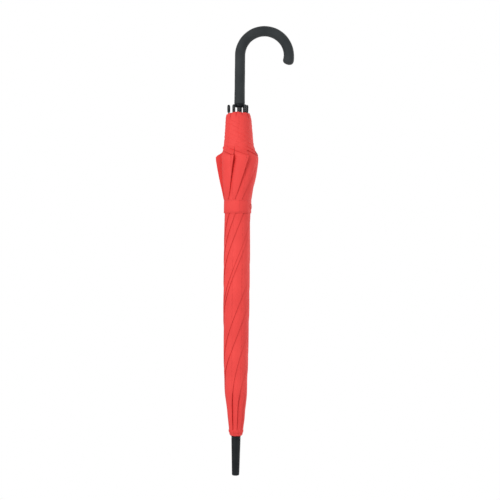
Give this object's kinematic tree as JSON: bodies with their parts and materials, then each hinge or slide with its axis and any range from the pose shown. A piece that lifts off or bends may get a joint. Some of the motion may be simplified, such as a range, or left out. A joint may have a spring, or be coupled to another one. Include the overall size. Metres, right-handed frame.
{
  "type": "stick umbrella",
  "caption": "Long stick umbrella with a foam crook handle, rolled cloth canopy held by a strap, and a runner that spreads the ribs.",
  "frame": {"origin": "centre of the ferrule's flat end, on the shaft's axis", "axes": "+Z along the shaft towards the handle, +X the way the crook opens, -Y the front"},
  "size_m": [0.1377, 0.076, 0.8306],
  "materials": {
    "foam_grip": "matt closed-cell foam with a faint soft sheen",
    "moulded_plastic": "satin black moulding",
    "gloss_plastic": "glossy black moulding",
    "red_plastic": "glossy moulding in the cloth's red",
    "black_steel": "smooth black coating",
    "bright_steel": "plated wire and strip",
    "fibreglass": "smooth resin rod",
    "red_cloth": "plain woven polyester with a soft sheen"
  },
  "bodies": {
    "root": {"ferrule": "moulded_plastic", "shaft_tube": "black_steel", "crown_washer": "moulded_plastic", "top_notch": "moulded_plastic", "notch_wire": "bright_steel", "top_stop_pin": "bright_steel", "canopy_collar": "red_cloth", "crook_core": "moulded_plastic", "crook_grip": "foam_grip", "grip_collar": "moulded_plastic", "handle_pin": "bright_steel"},
    "runner": {"runner_sleeve": "moulded_plastic", "runner_wire": "bright_steel"},
    "bottom_catch": {"bottom_catch": "bright_steel"},
    "top_catch": {"top_catch": "bright_steel"},
    "rib_1": {"rib_1": "fibreglass", "rib_tip_1": "gloss_plastic"},
    "rib_2": {"rib_2": "fibreglass", "rib_tip_2": "gloss_plastic"},
    "rib_3": {"rib_3": "fibreglass", "rib_tip_3": "gloss_plastic"},
    "rib_4": {"rib_4": "fibreglass", "rib_tip_4": "gloss_plastic"},
    "rib_5": {"rib_5": "fibreglass", "rib_tip_5": "gloss_plastic"},
    "rib_6": {"rib_6": "fibreglass", "rib_tip_6": "gloss_plastic"},
    "rib_7": {"rib_7": "fibreglass", "rib_tip_7": "gloss_plastic"},
    "rib_8": {"rib_8": "fibreglass", "rib_tip_8": "gloss_plastic"},
    "stretcher_1": {"stretcher_1": "black_steel"},
    "stretcher_2": {"stretcher_2": "black_steel"},
    "stretcher_3": {"stretcher_3": "black_steel"},
    "stretcher_4": {"stretcher_4": "black_steel"},
    "stretcher_5": {"stretcher_5": "black_steel"},
    "stretcher_6": {"stretcher_6": "black_steel"},
    "stretcher_7": {"stretcher_7": "black_steel"},
    "stretcher_8": {"stretcher_8": "black_steel"},
    "gore_1": {"canopy_panel_1": "red_cloth"},
    "gore_2": {"canopy_panel_2": "red_cloth"},
    "gore_3": {"canopy_panel_3": "red_cloth"},
    "gore_4": {"canopy_panel_4": "red_cloth"},
    "gore_5": {"canopy_panel_5": "red_cloth"},
    "gore_6": {"canopy_panel_6": "red_cloth"},
    "gore_7": {"canopy_panel_7": "red_cloth"},
    "gore_8": {"canopy_panel_8": "red_cloth"},
    "strap_1": {"strap_arc_1": "red_cloth"},
    "strap_2": {"strap_arc_2": "red_cloth"},
    "strap_3": {"strap_arc_3": "red_cloth"},
    "strap_4": {"strap_arc_4": "red_cloth", "strap_snap": "red_plastic"}
  },
  "joints": [
    {"name": "runner_slide", "type": "slide", "parent": "root", "child": "runner", "axis": [0, 0, -1], "range_m": [0, 0.3315]},
    {"name": "rib_1_hinge", "type": "hinge", "parent": "root", "child": "rib_1", "pos_m": [-0.00291, -0.00702, 0.081], "axis": [0.9239, -0.3827, 0], "range_deg": [0, 61]},
    {"name": "rib_2_hinge", "type": "hinge", "parent": "root", "child": "rib_2", "pos_m": [0.00291, -0.00702, 0.081], "axis": [0.9239, 0.3827, 0], "range_deg": [0, 61]},
    {"name": "rib_3_hinge", "type": "hinge", "parent": "root", "child": "rib_3", "pos_m": [0.00702, -0.00291, 0.081], "axis": [0.3827, 0.9239, 0], "range_deg": [0, 61]},
    {"name": "rib_4_hinge", "type": "hinge", "parent": "root", "child": "rib_4", "pos_m": [0.00702, 0.00291, 0.081], "axis": [-0.3827, 0.9239, 0], "range_deg": [0, 61]},
    {"name": "rib_5_hinge", "type": "hinge", "parent": "root", "child": "rib_5", "pos_m": [0.00291, 0.00702, 0.081], "axis": [-0.9239, 0.3827, 0], "range_deg": [0, 61]},
    {"name": "rib_6_hinge", "type": "hinge", "parent": "root", "child": "rib_6", "pos_m": [-0.00291, 0.00702, 0.081], "axis": [-0.9239, -0.3827, 0], "range_deg": [0, 61]},
    {"name": "rib_7_hinge", "type": "hinge", "parent": "root", "child": "rib_7", "pos_m": [-0.00702, 0.00291, 0.081], "axis": [-0.3827, -0.9239, 0], "range_deg": [0, 61]},
    {"name": "rib_8_hinge", "type": "hinge", "parent": "root", "child": "rib_8", "pos_m": [-0.00702, -0.00291, 0.081], "axis": [0.3827, -0.9239, 0], "range_deg": [0, 61]},
    {"name": "stretcher_1_hinge", "type": "hinge", "parent": "runner", "child": "stretcher_1", "pos_m": [-0.00006, -0.00799, 0.641], "axis": [-0.9239, 0.3827, 0], "range_deg": [0, 69.78]},
    {"name": "stretcher_2_hinge", "type": "hinge", "parent": "runner", "child": "stretcher_2", "pos_m": [0.0056, -0.00569, 0.641], "axis": [-0.9239, -0.3827, 0], "range_deg": [0, 69.65]},
    {"name": "stretcher_3_hinge", "type": "hinge", "parent": "runner", "child": "stretcher_3", "pos_m": [0.00799, -0.00006, 0.641], "axis": [-0.3827, -0.9239, 0], "range_deg": [0, 69.74]},
    {"name": "stretcher_4_hinge", "type": "hinge", "parent": "runner", "child": "stretcher_4", "pos_m": [0.00569, 0.0056, 0.641], "axis": [0.3827, -0.9239, 0], "range_deg": [0, 69.79]},
    {"name": "stretcher_5_hinge", "type": "hinge", "parent": "runner", "child": "stretcher_5", "pos_m": [0.00006, 0.00799, 0.641], "axis": [0.9239, -0.3827, 0], "range_deg": [0, 69.77]},
    {"name": "stretcher_6_hinge", "type": "hinge", "parent": "runner", "child": "stretcher_6", "pos_m": [-0.0056, 0.00569, 0.641], "axis": [0.9239, 0.3827, 0], "range_deg": [0, 69.98]},
    {"name": "stretcher_7_hinge", "type": "hinge", "parent": "runner", "child": "stretcher_7", "pos_m": [-0.00799, 0.00006, 0.641], "axis": [0.3827, 0.9239, 0], "range_deg": [0, 69.81]},
    {"name": "stretcher_8_hinge", "type": "hinge", "parent": "runner", "child": "stretcher_8", "pos_m": [-0.00569, -0.0056, 0.641], "axis": [-0.3827, 0.9239, 0], "range_deg": [0, 68.82]},
    {"name": "panel_1_spread", "type": "hinge", "parent": "rib_1", "child": "gore_1", "pos_m": [0, 0.03213, 0.05904], "axis": [0, 0.8784, -0.478], "range_deg": [0, 44.8], "deforming": ["canopy_panel_1"]},
    {"name": "panel_2_spread", "type": "hinge", "parent": "rib_2", "child": "gore_2", "pos_m": [-0.02272, 0.02272, 0.05904], "axis": [-0.6211, 0.6211, -0.478], "range_deg": [0, 44.8], "deforming": ["canopy_panel_2"]},
    {"name": "panel_3_spread", "type": "hinge", "parent": "rib_3", "child": "gore_3", "pos_m": [-0.03213, 0, 0.05904], "axis": [-0.8784, 0, -0.478], "range_deg": [0, 44.8], "deforming": ["canopy_panel_3"]},
    {"name": "panel_4_spread", "type": "hinge", "parent": "rib_4", "child": "gore_4", "pos_m": [-0.02272, -0.02272, 0.05904], "axis": [-0.6211, -0.6211, -0.478], "range_deg": [0, 44.8], "deforming": ["canopy_panel_4"]},
    {"name": "panel_5_spread", "type": "hinge", "parent": "rib_5", "child": "gore_5", "pos_m": [0, -0.03213, 0.05904], "axis": [0, -0.8784, -0.478], "range_deg": [0, 44.8], "deforming": ["canopy_panel_5"]},
    {"name": "panel_6_spread", "type": "hinge", "parent": "rib_6", "child": "gore_6", "pos_m": [0.02272, -0.02272, 0.05904], "axis": [0.6211, -0.6211, -0.478], "range_deg": [0, 44.8], "deforming": ["canopy_panel_6"]},
    {"name": "panel_7_spread", "type": "hinge", "parent": "rib_7", "child": "gore_7", "pos_m": [0.03213, 0, 0.05904], "axis": [0.8784, 0, -0.478], "range_deg": [0, 44.8], "deforming": ["canopy_panel_7"]},
    {"name": "panel_8_spread", "type": "hinge", "parent": "rib_8", "child": "gore_8", "pos_m": [0.02272, 0.02272, 0.05904], "axis": [0.6211, 0.6211, -0.478], "range_deg": [0, 44.8], "deforming": ["canopy_panel_8"]},
    {"name": "strap_1_unroll", "type": "hinge", "parent": "rib_4", "child": "strap_1", "pos_m": [0.01032, 0.02239, 0.4965], "axis": [0, 0, -1], "range_deg": [0, 80], "deforming": ["strap_arc_1"]},
    {"name": "strap_2_unroll", "type": "hinge", "parent": "strap_1", "child": "strap_2", "pos_m": [-0.02151, 0.01205, 0.4965], "axis": [0, 0, -1], "range_deg": [0, 80], "deforming": ["strap_arc_2"]},
    {"name": "strap_3_unroll", "type": "hinge", "parent": "strap_2", "child": "strap_3", "pos_m": [-0.0137, -0.0205, 0.4965], "axis": [0, 0, -1], "range_deg": [0, 80], "deforming": ["strap_arc_3"]},
    {"name": "strap_4_unroll", "type": "hinge", "parent": "strap_3", "child": "strap_4", "pos_m": [0.01936, -0.01526, 0.4965], "axis": [0, 0, -1], "range_deg": [0, 80], "deforming": ["strap_arc_4", "strap_snap"]},
    {"name": "bottom_catch_press", "type": "slide", "parent": "root", "child": "bottom_catch", "axis": [0.3896, 0.921, 0], "range_m": [0, 0.002], "stiffness_N_per_m": 400},
    {"name": "top_catch_press", "type": "slide", "parent": "root", "child": "top_catch", "axis": [0.3896, 0.921, 0], "range_m": [0, 0.002], "stiffness_N_per_m": 400}
  ],
  "couplings": [
    {"joint": "rib_1_hinge", "follows": "runner_slide", "rad_per_m": 3.2116},
    {"joint": "rib_2_hinge", "follows": "runner_slide", "rad_per_m": 3.2116},
    {"joint": "rib_3_hinge", "follows": "runner_slide", "rad_per_m": 3.2116},
    {"joint": "rib_4_hinge", "follows": "runner_slide", "rad_per_m": 3.2116},
    {"joint": "rib_5_hinge", "follows": "runner_slide", "rad_per_m": 3.2116},
    {"joint": "rib_6_hinge", "follows": "runner_slide", "rad_per_m": 3.2116},
    {"joint": "rib_7_hinge", "follows": "runner_slide", "rad_per_m": 3.2116},
    {"joint": "rib_8_hinge", "follows": "runner_slide", "rad_per_m": 3.2116},
    {"joint": "stretcher_1_hinge", "follows": "runner_slide", "rad_per_m": 3.6739},
    {"joint": "stretcher_2_hinge", "follows": "runner_slide", "rad_per_m": 3.667},
    {"joint": "stretcher_3_hinge", "follows": "runner_slide", "rad_per_m": 3.6718},
    {"joint": "stretcher_4_hinge", "follows": "runner_slide", "rad_per_m": 3.6744},
    {"joint": "stretcher_5_hinge", "follows": "runner_slide", "rad_per_m": 3.6734},
    {"joint": "stretcher_6_hinge", "follows": "runner_slide", "rad_per_m": 3.6844},
    {"joint": "stretcher_7_hinge", "follows": "runner_slide", "rad_per_m": 3.6755},
    {"joint": "stretcher_8_hinge", "follows": "runner_slide", "rad_per_m": 3.6233},
    {"joint": "panel_1_spread", "follows": "runner_slide", "rad_per_m": 2.3586},
    {"joint": "panel_2_spread", "follows": "runner_slide", "rad_per_m": 2.3586},
    {"joint": "panel_3_spread", "follows": "runner_slide", "rad_per_m": 2.3586},
    {"joint": "panel_4_spread", "follows": "runner_slide", "rad_per_m": 2.3586},
    {"joint": "panel_5_spread", "follows": "runner_slide", "rad_per_m": 2.3586},
    {"joint": "panel_6_spread", "follows": "runner_slide", "rad_per_m": 2.3586},
    {"joint": "panel_7_spread", "follows": "runner_slide", "rad_per_m": 2.3586},
    {"joint": "panel_8_spread", "follows": "runner_slide", "rad_per_m": 2.3586},
    {"joint": "strap_1_unroll", "follows": "runner_slide", "rad_per_m": 4.212},
    {"joint": "strap_2_unroll", "follows": "runner_slide", "rad_per_m": 4.212},
    {"joint": "strap_3_unroll", "follows": "runner_slide", "rad_per_m": 4.212},
    {"joint": "strap_4_unroll", "follows": "runner_slide", "rad_per_m": 4.212}
  ]
}
